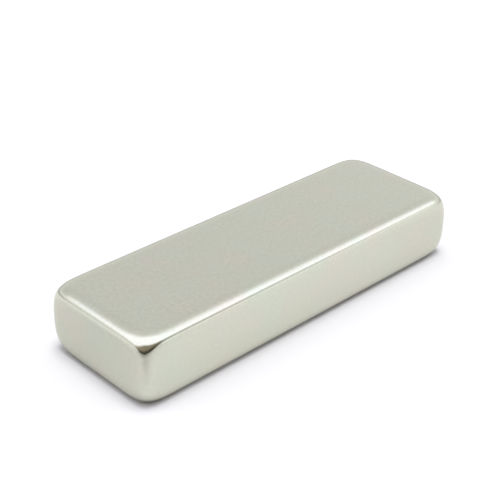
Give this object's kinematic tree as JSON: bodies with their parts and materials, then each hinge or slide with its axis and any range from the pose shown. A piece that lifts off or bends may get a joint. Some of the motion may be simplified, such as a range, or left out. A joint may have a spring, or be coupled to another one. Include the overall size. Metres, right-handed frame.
{
  "type": "neodymium block magnet",
  "caption": "Rectangular block magnet with a bright nickel finish, rounded edges and worn corners, for bonding into a pocket or holding steel at either pole face.",
  "frame": {"origin": "centre of the lower pole face, on the surface that the magnet lies on", "axes": "+X along the length, +Y along the width, +Z through the thickness from the lower pole face to the upper one"},
  "size_m": [0.06, 0.02, 0.01],
  "materials": {
    "nickel_plate": "bright nickel plate with a soft satin grain, slightly warm"
  },
  "bodies": {
    "root": {"block_magnet": "nickel_plate"}
  },
  "joints": []
}
